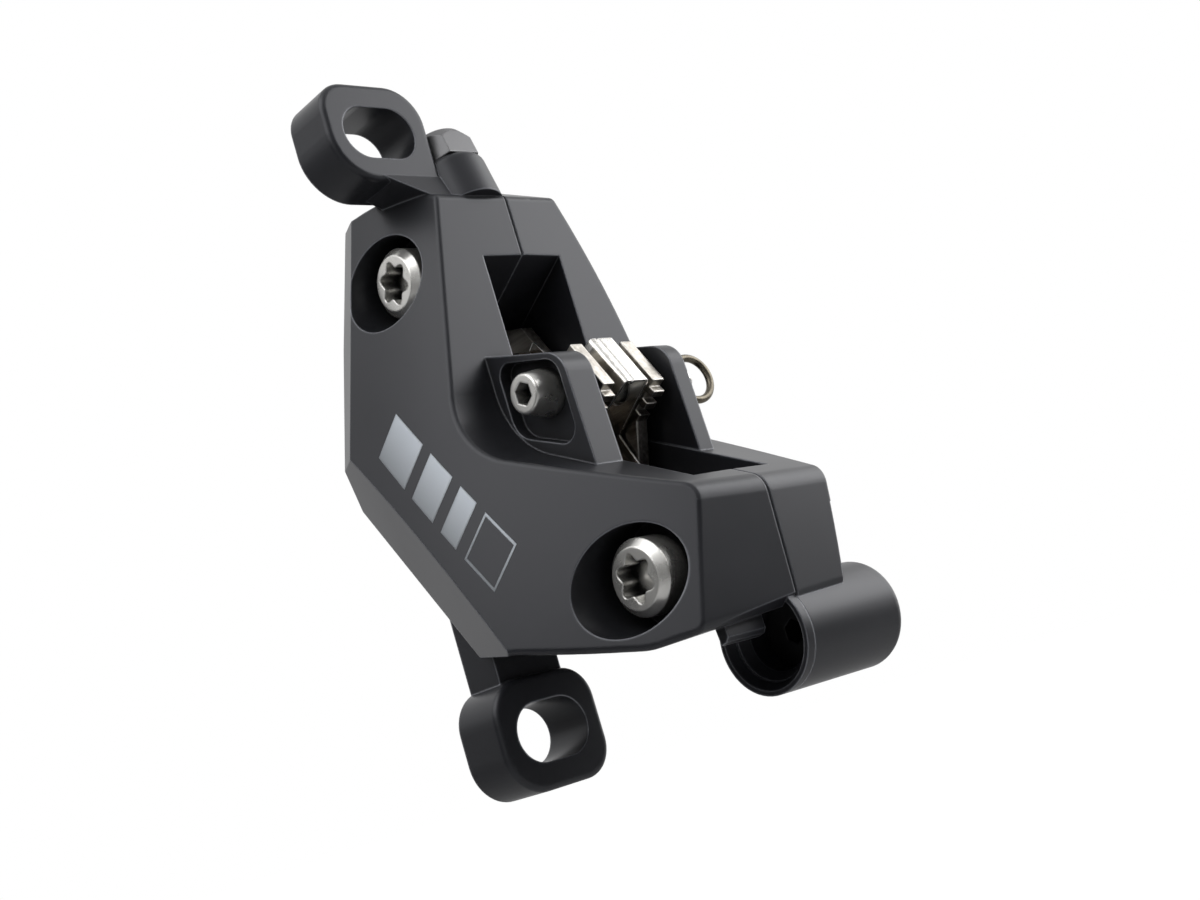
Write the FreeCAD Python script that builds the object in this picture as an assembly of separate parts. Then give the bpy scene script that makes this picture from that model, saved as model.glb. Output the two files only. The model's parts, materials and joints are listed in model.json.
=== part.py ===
import FreeCAD, Part
import math
import os

Vector = FreeCAD.Vector

# Hydraulic disc brake caliper in two halves, in millimetres.
# X runs from the outboard side to the inboard side, Y along the mounting bolts towards the frame, Z up.
# The origin lies on the ears' mounting face, midway between the two mounting slots.

# Mounting ears
mount_spacing = 74.2
ear_width = 15.2
ear_thickness = 7.0
ear_reach = 6.5
upper_ear_trim = 0.2
ear_upper_corners = (6.0, 0.6, 5.0, 4.0)
ear_lower_corners = (5.0, 4.0, 4.0, 4.5)
ear_band_foot_x = (4.2, 8.0)
ear_band_top_x = (-1.4, 8.0)
ear_band_foot_y = -8.0
ear_band_foot_z = 28.6
ear_band_back_y = -1.0
ear_edge_round = 0.7
slot_length = 10.5
slot_width = 6.8
post_radius = 6.6
ear_back_clearance = 0.1
neck_width = 9.4
neck_x = -4.5
neck_thickness = 5.6
neck_into_ear = 3.0
neck_high_z = -16.6

# Body halves: side outline, with its corner radii named from the front edge's top down and round
seam_x = 15.0
front_top_round = 1.0
arm_end_low_round = 1.2
bottom_bend_round = 6.0
bottom_left_round = 3.0
back_low_round = 2.0
back_foot_round = 3.0
back_top_round = 6.0
back_shoulder_round = 2.0
left_top_round = 1.5
arm_end_slope = 0.8
back_top_rise = 15.0
seam_bevel = 0.22
front_y = -9.3
top_z = 28.0
top_rise = 29.0
inner_corner_z = -4.3
inner_corner_round = 11.0
arm_fall = 27.5
arm_end_y = -35.3
arm_end_round = 2.6
arm_bottom_z = -31.9
bottom_draft = 1.3
arm_bevel_top = (-36.0, -29.75)
arm_bevel_foot = (-31.4, -33.3)
arm_bevel_x = 3.0
arm_bevel_depth = 4.0
bottom_bend_y = -27.4
bottom_left_y = -13.4
bottom_left_z = -28.7
diagonal_top_y = 7.0
diagonal_top_z = 0.5
left_top_y = 3.9
back_bulge = 3.2
face_round = 0.6
back_bevel_drop = 0.42
back_shoulder_y = 8.2
back_shoulder_z = 30.6
bottom_back_shift = 0.99
diagonal_bulge = 8.8
end_draft = 2.9
inboard_end_draft = 0.4
front_draft = 0.6
draft_depth = 25.0
edge_tolerance = 0.01

# Outboard face: X = base + rise * z + tilt * y + bow * y squared, with y from the ears' front face
outboard_base = -3.6
outboard_rise = 0.25
outboard_tilt = -0.33
outboard_bow = 0.006
bevel_width = 5.95
bevel_drop = 2.3
second_bevel_drop = 4.4
back_bevel_top_z = 34.5
dome_y_range = (-55.0, 35.0)
dome_z_range = (-60.0, 60.0)

# Inboard face: X = base - dome * (z - centre) squared + tilt * dy - bow * dy squared, dy from the front face
inboard_base = 31.4
inboard_dome = 0.0054
inboard_dome_z = -10.0
inboard_tilt = 0.16
inboard_bow = 0.0016
inboard_step_z = -21.8
inboard_step = 0.4
inboard_step_from_seam = 2.0

# Pad frame: the pad bolt's axis, and the tilt of the pads about it
pad_bolt_y = -15.8
pad_bolt_z = -0.15
pad_tilt = 28.0

# Pad pocket and rotor slot
pad_end_clearance = 0.4
pocket_half_width = 6.4
rotor_slot_half = 1.8
rotor_top_r = 6.0
rotor_clear_radius = 92.0

# Pistons, bores and seals
piston_radius = 7.0
piston_length = 8.4
piston_wall = 1.8
piston_floor = 3.0
piston_line_r = 15.5
piston_offset_u = 9.2
bore_clearance = 0.05
bore_depth = 7.6
seal_height = 1.5
seal_width = 2.0
seal_setback = 1.5
groove_clearance = 0.04
link_radius = 1.0
link_from_floor = 1.2

# Pads
rotor_gap = 2.6
friction_thickness = 2.0
plate_thickness = 1.8
plate_half_length = 20.5
plate_inner_r = 6.2
plate_outer_r = 23.8
plate_corner = 2.2
friction_half_length = 17.5
friction_inner_r = 7.6
friction_outer_r = 22.8
friction_chamfer = 2.4
friction_groove_half = 0.7
friction_groove_depth = 1.2
tab_top_r = -4.0
tab_half_width = 3.5
tab_foot_r = 1.5
tab_shoulder = 5.0
tab_tooth = 0.95
tab_tooth_count = 3
tab_first_tooth_r = 1.8
tab_hole_clearance = 0.1

# Pad spring
spring_thickness = 0.3
spring_groove_depth = 0.7
spring_half_length = 3.8
spring_top_r = -4.5
spring_half_width = 2.0
spring_plate_gap = 0.12
spring_groove_x = 13.9
spring_groove_width = 0.6
spring_groove_flank = 0.2
spring_fold = 0.15
spring_arm_inner_r = 5.0
spring_arm_outer_r = 7.3
spring_arm_half_length = 15.0
spring_arm_tip = 1.4
spring_arm_root = 1.0
spring_hole_clearance = 0.35

# Pad bolt and its lugs
lug_thickness = 2.4
lug_pocket_gap = 0.2
lug_root = 1.5
lug_tip_lean = 0.4
lug_foot_z = -13.5
lug_foot_rise = 7.0
lug_top = 7.26
lug_top_drop = 18.2
lug_reach = 12.1
lug_round = 3.4
lug_rim_height = 1.8
lug_rim_wall = 1.1
lug_rim_root = 1.2
lug_rim_top = (5.4, 2.4)
lug_rim_foot = (-8.2, -3.8)
lug_rim_rounds = (1.6, 2.4, 2.0, 3.4)
pad_bolt_radius = 1.95
pad_bolt_clearance = 0.05
pad_bolt_head_length = 3.9
pad_bolt_head_face = 2.35
pad_bolt_head_root = 2.95
pad_bolt_hex = 2.5
pad_bolt_hex_depth = 2.2
pad_bolt_tip_radius = 1.5
pad_bolt_thread_run = 2.0
pad_bolt_tip_run = 3.3
pad_bolt_rim_round = 0.3
cross_hole_radius = 0.8
cross_hole_from_tip = 1.3
ring_radius = 2.9
ring_wire = 0.5
ring_swing = 5.0
cross_hole_lean = 5.0

# Body bolts
body_bolt_upper = (-0.4, 20.15)
body_bolt_lower = (-26.4, -24.9)
upper_head_x = 1.1
lower_head_x = 0.0
bolt_head_radius = 4.3
bolt_head_height = 5.0
bolt_head_bevel = 0.9
bolt_shank_radius = 2.45
bolt_thread_depth = 10.0
bolt_tip_gap = 1.0
bolt_clearance = 0.15
thread_clearance = 0.05
recess_radius = 5.9
lobe_outer_radius = 2.76
lobe_inner_radius = 1.98
lobe_depth = 2.6

# Hose fitting
hose_x = 11.6
hose_y = -4.2
hose_z = 33.6
hose_tilt = 14.0
hose_boss_radius = 4.7
hose_boss_length = 6.5
hose_seat_radius = 5.2
hose_hex = 8.0
hose_hex_length = 4.1
hose_shank_radius = 2.9
hose_shank_length = 5.0
hose_bore_radius = 2.55
hose_bore_depth = 5.1
hose_port_depth = 7.0
hose_port_clearance = 0.05
hose_seal_wire = 0.8
hose_seal_gap = 0.05
hose_lip_round = 1.0
hose_hex_crown = (1.4, -0.9)

# Fluid transfer between the halves
transfer_y = -6.0
transfer_z = 24.6
transfer_radius = 1.0
transfer_seal_inner = 1.15
transfer_seal_outer = 2.1
transfer_seal_gap = 0.02
transfer_groove_clearance = 0.04
transfer_reach = 9.0

# Bleed boss, screw and seal
bleed_y = -28.9
bleed_z = -34.65
bleed_boss_radius = 6.3
bleed_boss_end_x = 31.9
bleed_boss_round = 1.4
bleed_ring_x = 13.7
bleed_bore_radius = 4.0
bleed_mouth_radius = 5.7
bleed_mouth_depth = 2.6
bleed_bore_end_x = 27.2
bleed_lip_x = (5.5, 11.7)
bleed_lip_outline = [(-31.6, -31.6), (-31.6, -33.6), (-31.2, -34.1), (-30.35, -34.3), (-30.1, -31.6)]
bleed_passage_radius = 0.6
bleed_passage_from_end = 0.7
bleed_screw_length = 7.0
bleed_screw_clearance = 0.05
bleed_screw_seat_gap = 0.9
bleed_hex = 2.5
bleed_hex_depth = 3.2
bleed_seal_wire = 0.7
bleed_groove_x = 5.0
seal_squeeze = 0.03

front_of_ear_y = -ear_thickness
upper_ear_low_z = mount_spacing / 2 - ear_reach + upper_ear_trim
neck_low_z = ear_reach - mount_spacing / 2 - neck_into_ear
inboard_front_y = front_of_ear_y - 2.5
far = 80.0

tangent = Vector(0, math.sin(math.radians(pad_tilt)), math.cos(math.radians(pad_tilt)))
radial = Vector(0, math.cos(math.radians(pad_tilt)), -math.sin(math.radians(pad_tilt)))
plate_out_x = seam_x - rotor_gap / 2 - friction_thickness - plate_thickness
lug_outer_x = seam_x - pocket_half_width - lug_pocket_gap - lug_thickness


def pad_point(x, u, r):
    """Point at x across, u along the pads and r towards the rotor's centre from the pad bolt."""
    return Vector(x, pad_bolt_y, pad_bolt_z) + tangent * u + radial * r


def mirrored(shape):
    """The same shape on the other side of the seam."""
    return shape.mirror(Vector(seam_x, 0, 0), Vector(1, 0, 0))


def polygon_face(points):
    """Flat face through a closed list of points."""
    return Part.Face(Part.makePolygon(points + [points[0]]))


def rounded_wire(corners):
    """Closed wire through corners given as (point, radius), with an arc at each corner that has a radius."""
    count = len(corners)
    spans = []
    for i in range(count):
        before = corners[i - 1][0]
        here, radius = corners[i]
        after = corners[(i + 1) % count][0]
        if radius <= 0:
            spans.append((here, None, here))
            continue
        toward_before = (before - here).normalize()
        toward_after = (after - here).normalize()
        half_angle = toward_before.getAngle(toward_after) / 2
        run = radius / math.tan(half_angle)
        bisector = (toward_before + toward_after).normalize()
        middle = here + bisector * (radius / math.sin(half_angle) - radius)
        spans.append((here + toward_before * run, middle, here + toward_after * run))
    edges = []
    for i in range(count):
        start, middle, end = spans[i]
        if middle is not None:
            edges.append(Part.Arc(start, middle, end).toShape())
        following = spans[(i + 1) % count][0]
        edges.append(Part.LineSegment(end, following).toShape())
    return Part.Wire(edges)


def rod(radius, x0, x1, y, z):
    """Cylinder along X."""
    return Part.makeCylinder(radius, x1 - x0, Vector(x0, y, z), Vector(1, 0, 0))


def pad_rod(radius, x0, x1, u, r):
    """Cylinder along X at a place given in the pad frame."""
    return Part.makeCylinder(radius, x1 - x0, pad_point(x0, u, r), Vector(1, 0, 0))


def pad_prism(outline, x0, x1):
    """Prism along X over an outline of (u, r) pairs."""
    face = polygon_face([pad_point(x0, u, r) for u, r in outline])
    return face.extrude(Vector(x1 - x0, 0, 0))


def beyond_plane(point, normal):
    """Large block on the side of a plane to which the normal points."""
    block = Part.makeBox(4 * far, 4 * far, far, Vector(-2 * far, -2 * far, 0))
    block.Placement = FreeCAD.Placement(point, FreeCAD.Rotation(Vector(0, 0, 1), normal))
    return block


def hexagon(width, depth, origin, direction):
    """Hexagonal prism of a given width across flats."""
    corner = width / math.sqrt(3)
    points = []
    for i in range(6):
        angle = math.radians(60 * i)
        points.append(Vector(corner * math.cos(angle), corner * math.sin(angle), 0))
    prism = polygon_face(points).extrude(Vector(0, 0, depth))
    prism.Placement = FreeCAD.Placement(origin, FreeCAD.Rotation(Vector(0, 0, 1), direction))
    return prism


def six_lobe(depth, origin, direction):
    """Six-lobed socket cutter, its lobes joined by round hollows."""
    points = []
    steps = 48
    middle = (lobe_outer_radius + lobe_inner_radius) / 2
    swing = (lobe_outer_radius - lobe_inner_radius) / 2
    for i in range(steps):
        angle = 2 * math.pi * i / steps
        radius = middle + swing * math.cos(6 * angle)
        points.append(Vector(radius * math.cos(angle), radius * math.sin(angle), 0))
    curve = Part.BSplineCurve()
    curve.interpolate(Points=points, PeriodicFlag=True)
    face = Part.Face(Part.Wire([curve.toShape()]))
    prism = face.extrude(Vector(0, 0, depth))
    prism.Placement = FreeCAD.Placement(origin, FreeCAD.Rotation(Vector(0, 0, 1), direction))
    return prism


def ring(inner, outer, x0, x1, y, z):
    """Flat ring about an axis along X."""
    return rod(outer, x0, x1, y, z).cut(rod(inner, x0 - 1, x1 + 1, y, z))


def outboard_face_x(y, z):
    """X of the domed outboard face over a point of the side view."""
    from_ear = y - front_of_ear_y
    return outboard_base + outboard_rise * z + outboard_tilt * from_ear + outboard_bow * from_ear ** 2


def outboard_dome():
    """Everything on the seam's side of the domed outboard face."""
    low_y, high_y = dome_y_range
    middle_y = (low_y + high_y) / 2
    slope = outboard_tilt + 2 * outboard_bow * (low_y - front_of_ear_y)
    poles = []
    for z in dome_z_range:
        first = outboard_face_x(low_y, z)
        middle = first + slope * (middle_y - low_y)
        last = outboard_face_x(high_y, z)
        poles.append([Vector(first, low_y, z), Vector(middle, middle_y, z), Vector(last, high_y, z)])
    return dome_block(poles, Vector(far, 0, 0))


def inboard_dome_block():
    """Everything on the seam's side of the domed inboard face."""
    front = inboard_front_y
    low_y, high_y = dome_y_range
    low_z, high_z = dome_z_range
    across = [inboard_tilt * (y - front) - inboard_bow * (y - front) ** 2 for y in (low_y, high_y)]
    start_slope = inboard_tilt - 2 * inboard_bow * (low_y - front)
    y_terms = [across[0], across[0] + start_slope * (high_y - low_y) / 2, across[1]]
    down = [-inboard_dome * (z - inboard_dome_z) ** 2 for z in (low_z, high_z)]
    z_slope = -2 * inboard_dome * (low_z - inboard_dome_z)
    z_terms = [down[0], down[0] + z_slope * (high_z - low_z) / 2, down[1]]
    ys = [low_y, (low_y + high_y) / 2, high_y]
    zs = [low_z, (low_z + high_z) / 2, high_z]
    poles = []
    for z, z_term in zip(zs, z_terms):
        poles.append([Vector(inboard_base + y_term + z_term, y, z) for y, y_term in zip(ys, y_terms)])
    return dome_block(poles, Vector(-far, 0, 0))


def dome_block(poles, reach):
    """Solid swept along X from a curved face given by its control points."""
    surface = Part.BezierSurface()
    surface.increase(max(len(poles) - 1, 1), max(len(poles[0]) - 1, 1))
    for i, row in enumerate(poles):
        for j, pole in enumerate(row):
            surface.setPole(i + 1, j + 1, pole)
    return surface.toShape().extrude(reach)


def inboard_step_cutter():
    """Shallow step in the lower end of the domed inboard face."""
    low = Vector(seam_x + inboard_step_from_seam, -far, -far)
    block = Part.makeBox(far, 2 * far, far + inboard_step_z, low)
    kept = inboard_dome_block()
    kept.translate(Vector(-inboard_step, 0, 0))
    return block.cut(kept)


def side_outline(x, side, inset):
    """Outline of a body half in the side view, as a wire at one x; side -1 is outboard, +1 is inboard."""
    lean = abs(x - seam_x) / draft_depth
    front = front_y + front_draft * lean + inset
    end = arm_end_y + (end_draft if side < 0 else inboard_end_draft) * lean + inset
    slope = math.tan(math.radians(arm_fall))
    corner_z = inner_corner_z - inset
    end_top_z = corner_z - (front - end) * slope
    bottom = arm_bottom_z + side * bottom_draft * lean + inset
    along = Vector(0, diagonal_top_y - bottom_left_y, diagonal_top_z - bottom_left_z).normalize()
    outward = Vector(0, along.z, -along.y)
    corner = Vector(x, bottom_left_y, bottom_left_z)
    bulge = diagonal_bulge - inset
    low = corner + outward * bulge + along * (bottom_back_shift * bulge)
    left = diagonal_top_y + back_bulge - inset
    wall_foot = low + along * ((left - low.y) / along.y)
    top_slope = math.tan(math.radians(top_rise))
    left_top = left_top_y - inset
    corners = [
        (Vector(x, front, top_z - inset), front_top_round),
        (Vector(x, front, corner_z), inner_corner_round),
        (Vector(x, end, end_top_z), arm_end_round),
        (Vector(x, end + arm_end_slope, bottom), arm_end_low_round),
        (Vector(x, bottom_bend_y, bottom), bottom_bend_round),
        (Vector(x, bottom_left_y, bottom_left_z + inset), bottom_left_round),
        (low, back_low_round),
        (wall_foot, back_foot_round),
        (Vector(x, left, diagonal_top_z + back_top_rise), back_top_round),
        (Vector(x, back_shoulder_y - inset, back_shoulder_z), back_shoulder_round),
        (Vector(x, left_top, top_z + top_slope * (left_top - front) - inset), left_top_round),
    ]
    return rounded_wire(corners)


def half_blank(side):
    """One body half before its holes: side -1 is outboard, +1 is inboard."""
    seam_edge = side_outline(seam_x, side, seam_bevel)
    shoulder = side_outline(seam_x + side * seam_bevel, side, 0.0)
    outer = side_outline(seam_x + side * draft_depth, side, 0.0)
    lip = Part.makeLoft([seam_edge, shoulder], True, True)
    block = Part.makeLoft([shoulder, outer], True, True)
    blank = lip.fuse(block)
    dome = outboard_dome() if side < 0 else inboard_dome_block()
    return blank.common(dome)


def edge_point(y, z):
    """Point on the outboard face over a point of the side view."""
    return Vector(outboard_face_x(y, z), y, z)


def bevel_cutter(start, end, drop, width, outward):
    """Block beyond the plane through two points that falls by drop over width in the outward direction."""
    along = end - start
    down = outward * width + Vector(drop, 0, 0)
    normal = along.cross(down).normalize()
    if normal.x > 0:
        normal = normal * -1
    return beyond_plane(start, normal)


def outboard_bevels():
    """Blocks that bevel the long edges of the outboard face at its lower left and back."""
    low = edge_point(bottom_left_y, bottom_left_z)
    high = edge_point(diagonal_top_y, diagonal_top_z)
    top = edge_point(left_top_y, back_bevel_top_z)
    along = Vector(0, high.y - low.y, high.z - low.z).normalize()
    outward = Vector(0, along.z, -along.y)
    step = outward * bevel_width + Vector(bevel_drop, 0, 0)
    rest = diagonal_bulge - bevel_width
    first = bevel_cutter(low, high, bevel_drop, bevel_width, outward)
    second = bevel_cutter(low + step, high + step, second_bevel_drop, rest, outward)
    back = bevel_cutter(high, top, back_bevel_drop, 1.0, Vector(0, 1, 0))
    return [first, second, back]


def ear(low_z, high_z, radii):
    """Slotted mounting ear with rounded edges; the radii go round from its low outboard corner."""
    half = ear_width / 2
    places = [(-half, low_z), (half, low_z), (half, high_z), (-half, high_z)]
    corners = [(Vector(x, -ear_thickness, z), radius) for (x, z), radius in zip(places, radii)]
    block = Part.Face(rounded_wire(corners)).extrude(Vector(0, ear_thickness, 0))
    rim = [e for e in block.Edges if abs(e.CenterOfMass.y + ear_thickness) < edge_tolerance]
    return block.makeFillet(ear_edge_round, rim)


def post_room():
    """Room behind the upper ear for the frame's post and for a flat face as wide as the ear."""
    post = Part.makeCylinder(post_radius, far, Vector(0, 0, mount_spacing / 2), Vector(0, 1, 0))
    half = ear_width / 2 + ear_back_clearance
    corner = Vector(-half, 0, upper_ear_low_z - ear_back_clearance)
    return post.fuse(Part.makeBox(2 * half, far, far, corner))


def level_rectangle(x_range, y_range, z):
    """Rectangular wire at one height."""
    x0, x1 = x_range
    y0, y1 = y_range
    points = [Vector(x0, y0, z), Vector(x1, y0, z), Vector(x1, y1, z), Vector(x0, y1, z)]
    return Part.makePolygon(points + [points[0]])


def ear_band():
    """Sloped band that joins the upper ear to the body's top edge."""
    foot = level_rectangle(ear_band_foot_x, (ear_band_foot_y, ear_band_back_y), ear_band_foot_z)
    top = level_rectangle(ear_band_top_x, (-ear_thickness, ear_band_back_y), upper_ear_low_z + ear_edge_round)
    return Part.makeLoft([foot, top], True, True)


def bleed_lip():
    """Lip along the arm's lower end, in front of the bleed port."""
    x0, x1 = bleed_lip_x
    return polygon_face([Vector(x0, y, z) for y, z in bleed_lip_outline]).extrude(Vector(x1 - x0, 0, 0))


def arm_bevel():
    """Block that bevels the lower edge of the arm's end."""
    low = arm_bevel_foot[1] - arm_bevel_depth
    outline = [arm_bevel_top, arm_bevel_foot, (arm_bevel_foot[0], low), (arm_bevel_top[0], low)]
    points = [Vector(arm_bevel_x, y, z) for y, z in outline]
    return polygon_face(points).extrude(Vector(seam_x - arm_bevel_x, 0, 0))


def slot_cutter(centre_z):
    """Lateral mounting slot through an ear."""
    half_run = (slot_length - slot_width) / 2
    radius = slot_width / 2
    low = -ear_thickness - 1
    depth = ear_thickness + 2
    left = Part.makeCylinder(radius, depth, Vector(-half_run, low, centre_z), Vector(0, 1, 0))
    right = Part.makeCylinder(radius, depth, Vector(half_run, low, centre_z), Vector(0, 1, 0))
    middle = Part.makeBox(2 * half_run, depth, slot_width, Vector(-half_run, low, centre_z - radius))
    return left.fuse([right, middle])


def lug_outline(x, inset):
    """Outline of a pad-bolt lug as a wire at one x, drawn in by inset on its free sides."""
    drop = math.tan(math.radians(lug_top_drop))
    reach = front_y - lug_reach + inset
    root_y = front_y + lug_root
    top = lug_top - inset
    corners = [
        (Vector(x, root_y, top), 0),
        (Vector(x, reach, top - drop * (root_y - reach)), lug_round),
        (Vector(x, reach - lug_tip_lean, lug_foot_z), 0),
        (Vector(x, root_y, lug_foot_z + lug_foot_rise), 0),
    ]
    return rounded_wire(corners)


def lug(x0, x1):
    """Flat lug that carries the pad bolt."""
    return Part.Face(lug_outline(x0, 0.0)).extrude(Vector(x1 - x0, 0, 0))


def lug_rim():
    """Raised rim round the pad bolt's head on the outboard lug."""
    x0 = lug_outer_x - lug_rim_height
    whole = Part.Face(lug_outline(x0, 0.0)).extrude(Vector(lug_rim_height, 0, 0))
    y1 = front_y - lug_rim_root
    y0 = front_y - lug_reach + lug_rim_wall
    places = [(y1, lug_rim_top[0]), (y0, lug_rim_top[1]), (y0, lug_rim_foot[0]), (y1, lug_rim_foot[1])]
    corners = [(Vector(x0 - 1, y, z), radius) for (y, z), radius in zip(places, lug_rim_rounds)]
    hollow = Part.Face(rounded_wire(corners)).extrude(Vector(lug_rim_height + 1, 0, 0))
    return whole.cut(hollow)


def pad_pocket():
    """Space for the pads, open at the front and towards the rotor's centre."""
    half = plate_half_length + pad_end_clearance
    outline = [(-half, -far), (half, -far), (half, far), (-half, far)]
    return pad_prism(outline, seam_x - pocket_half_width, seam_x + pocket_half_width)


def rotor_slot():
    """Disc-shaped clearance for the rotor."""
    centre_r = rotor_top_r + rotor_clear_radius
    return pad_rod(rotor_clear_radius, seam_x - rotor_slot_half, seam_x + rotor_slot_half, 0, centre_r)


def piston_places():
    """The two piston axes of a half, as (name, u)."""
    return [("upper", piston_offset_u), ("lower", -piston_offset_u)]


def outboard_bores():
    """Piston bores, seal grooves and the link between the bores in the outboard half."""
    mouth = seam_x - pocket_half_width
    cutters = []
    for _, u in piston_places():
        bore_radius = piston_radius + bore_clearance
        cutters.append(pad_rod(bore_radius, mouth - bore_depth, mouth + 1, u, piston_line_r))
        groove_radius = piston_radius + seal_height + groove_clearance
        groove_x1 = mouth - seal_setback + groove_clearance
        groove_x0 = mouth - seal_setback - seal_width - groove_clearance
        cutters.append(pad_rod(groove_radius, groove_x0, groove_x1, u, piston_line_r))
    start = pad_point(mouth - bore_depth + link_from_floor, -piston_offset_u, piston_line_r)
    cutters.append(Part.makeCylinder(link_radius, 2 * piston_offset_u, start, tangent))
    return cutters


def piston_outboard(u):
    """Piston cup of the outboard half, open towards its pad."""
    body = pad_rod(piston_radius, plate_out_x - piston_length, plate_out_x, u, piston_line_r)
    hollow_start = plate_out_x - piston_length + piston_floor
    hollow = pad_rod(piston_radius - piston_wall, hollow_start, plate_out_x + 1, u, piston_line_r)
    return body.cut(hollow)


def seal_outboard(u):
    """Square-section seal of an outboard piston."""
    mouth = seam_x - pocket_half_width
    x0 = mouth - seal_setback - seal_width
    outer = pad_rod(piston_radius + seal_height, x0, x0 + seal_width, u, piston_line_r)
    inner = pad_rod(piston_radius + bore_clearance, x0 - 1, x0 + seal_width + 1, u, piston_line_r)
    return outer.cut(inner)


def plate_outboard():
    """Backing plate of the outboard pad with its notched tab."""
    c = plate_corner
    hl = plate_half_length
    shoulder = tab_half_width + tab_shoulder
    outline = [
        (tab_half_width, tab_top_r),
        (tab_half_width, tab_foot_r),
        (shoulder, plate_inner_r),
        (hl - c, plate_inner_r),
        (hl, plate_inner_r + c),
        (hl, plate_outer_r - 2 * c),
        (hl - 2 * c, plate_outer_r),
        (-hl + 2 * c, plate_outer_r),
        (-hl, plate_outer_r - 2 * c),
        (-hl, plate_inner_r + c),
        (-hl + c, plate_inner_r),
        (-shoulder, plate_inner_r),
    ]
    flank_r = tab_first_tooth_r
    for _ in range(tab_tooth_count):
        outline.append((-tab_half_width - tab_tooth, flank_r))
        outline.append((-tab_half_width - tab_tooth, flank_r - tab_tooth))
        outline.append((-tab_half_width, flank_r - tab_tooth))
        outline.append((-tab_half_width, flank_r - 2 * tab_tooth))
        flank_r -= 2 * tab_tooth
    outline.append((-tab_half_width, tab_top_r))
    plate = pad_prism(outline, plate_out_x, plate_out_x + plate_thickness)
    hole_radius = pad_bolt_radius + tab_hole_clearance
    return plate.cut(pad_rod(hole_radius, plate_out_x - 1, plate_out_x + plate_thickness + 1, 0, 0))


def friction_outboard():
    """Friction lining of the outboard pad, with bevelled ends."""
    x0 = plate_out_x + plate_thickness
    x1 = x0 + friction_thickness
    hl = friction_half_length
    c = friction_chamfer
    outline = [
        (-hl, friction_inner_r + c),
        (-hl + c, friction_inner_r),
        (hl - c, friction_inner_r),
        (hl, friction_inner_r + c),
        (hl, friction_outer_r - c),
        (hl - c, friction_outer_r),
        (-hl + c, friction_outer_r),
        (-hl, friction_outer_r - c),
    ]
    block = pad_prism(outline, x0, x1)
    half = friction_groove_half
    groove_outline = [(-half, -far), (half, -far), (half, far), (-half, far)]
    groove = pad_prism(groove_outline, x1 - friction_groove_depth, x1 + 1)
    return block.cut(groove)


def spring():
    """Folded sheet spring between the pads: a grooved bridge, two legs and four arms."""
    left = plate_out_x + plate_thickness + spring_plate_gap
    right = 2 * seam_x - left
    top_left = seam_x - spring_half_width
    top_right = seam_x + spring_half_width
    t = spring_thickness
    top = spring_top_r
    floor = top + spring_groove_depth
    low = top + t
    g0 = spring_groove_x
    g1 = spring_groove_x + spring_groove_width
    flank = spring_groove_flank
    fold = spring_fold
    outside = [
        (left, spring_arm_inner_r),
        (top_left, low),
        (top_left + t, top),
        (g0 - flank, top),
        (g0, floor),
        (g1, floor),
        (g1 + flank, top),
        (top_right - t, top),
        (top_right, low),
        (right, spring_arm_inner_r),
    ]
    inside = [
        (right - t, spring_arm_inner_r),
        (top_right - t, low + fold),
        (top_right - 1.5 * t, low),
        (g1 + flank + fold, low),
        (g1 + fold, floor + t),
        (g0 - fold, floor + t),
        (g0 - flank - fold, low),
        (top_left + 1.5 * t, low),
        (top_left + t, low + fold),
        (left + t, spring_arm_inner_r),
    ]
    section = outside + inside
    face = polygon_face([pad_point(x, -spring_half_length, r) for x, r in section])
    bridge = face.extrude(tangent * (2 * spring_half_length))
    arm_outline = [
        (-spring_arm_half_length, spring_arm_outer_r),
        (-spring_arm_half_length, spring_arm_outer_r - spring_arm_tip),
        (-spring_half_length, spring_arm_inner_r - spring_arm_root),
        (spring_half_length, spring_arm_inner_r - spring_arm_root),
        (spring_arm_half_length, spring_arm_outer_r - spring_arm_tip),
        (spring_arm_half_length, spring_arm_outer_r),
    ]
    left_arm = pad_prism(arm_outline, left, left + t)
    right_arm = pad_prism(arm_outline, right - t, right)
    whole = bridge.fuse([left_arm, right_arm])
    hole_radius = pad_bolt_radius + spring_hole_clearance
    return whole.cut(pad_rod(hole_radius, left - 1, right + 1, 0, 0)).removeSplitter()


def pad_bolt_end_x():
    """X of the pad bolt's tip."""
    inboard_lug_x = 2 * seam_x - lug_outer_x
    return inboard_lug_x + pad_bolt_thread_run + pad_bolt_tip_run


def cross_hole_direction():
    """Direction of the cross hole at the pad bolt's tip."""
    lean = math.radians(cross_hole_lean)
    return Vector(0, math.sin(lean), math.cos(lean))


def pad_bolt():
    """Pad retaining bolt: tapered hex-socket head, shank, thread end and drilled tip."""
    axis = Vector(1, 0, 0)
    head_x = lug_outer_x - pad_bolt_head_length
    head = Part.makeCone(pad_bolt_head_face, pad_bolt_head_root, pad_bolt_head_length,
                         pad_point(head_x, 0, 0), axis)
    rim = [e for e in head.Edges if abs(e.CenterOfMass.x - head_x) < edge_tolerance]
    head = head.makeFillet(pad_bolt_rim_round, rim)
    shank_end = 2 * seam_x - lug_outer_x + pad_bolt_thread_run
    shank = pad_rod(pad_bolt_radius, lug_outer_x, shank_end, 0, 0)
    tip = pad_rod(pad_bolt_tip_radius, shank_end, pad_bolt_end_x(), 0, 0)
    bolt = head.fuse([shank, tip]).removeSplitter()
    socket = hexagon(pad_bolt_hex, pad_bolt_hex_depth, pad_point(head_x, 0, 0), axis)
    hole_x = pad_bolt_end_x() - cross_hole_from_tip
    run = 3 * pad_bolt_tip_radius
    start = pad_point(hole_x, 0, 0) - cross_hole_direction() * run
    hole = Part.makeCylinder(cross_hole_radius, 2 * run, start, cross_hole_direction())
    return bolt.cut(socket).cut(hole)


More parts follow.
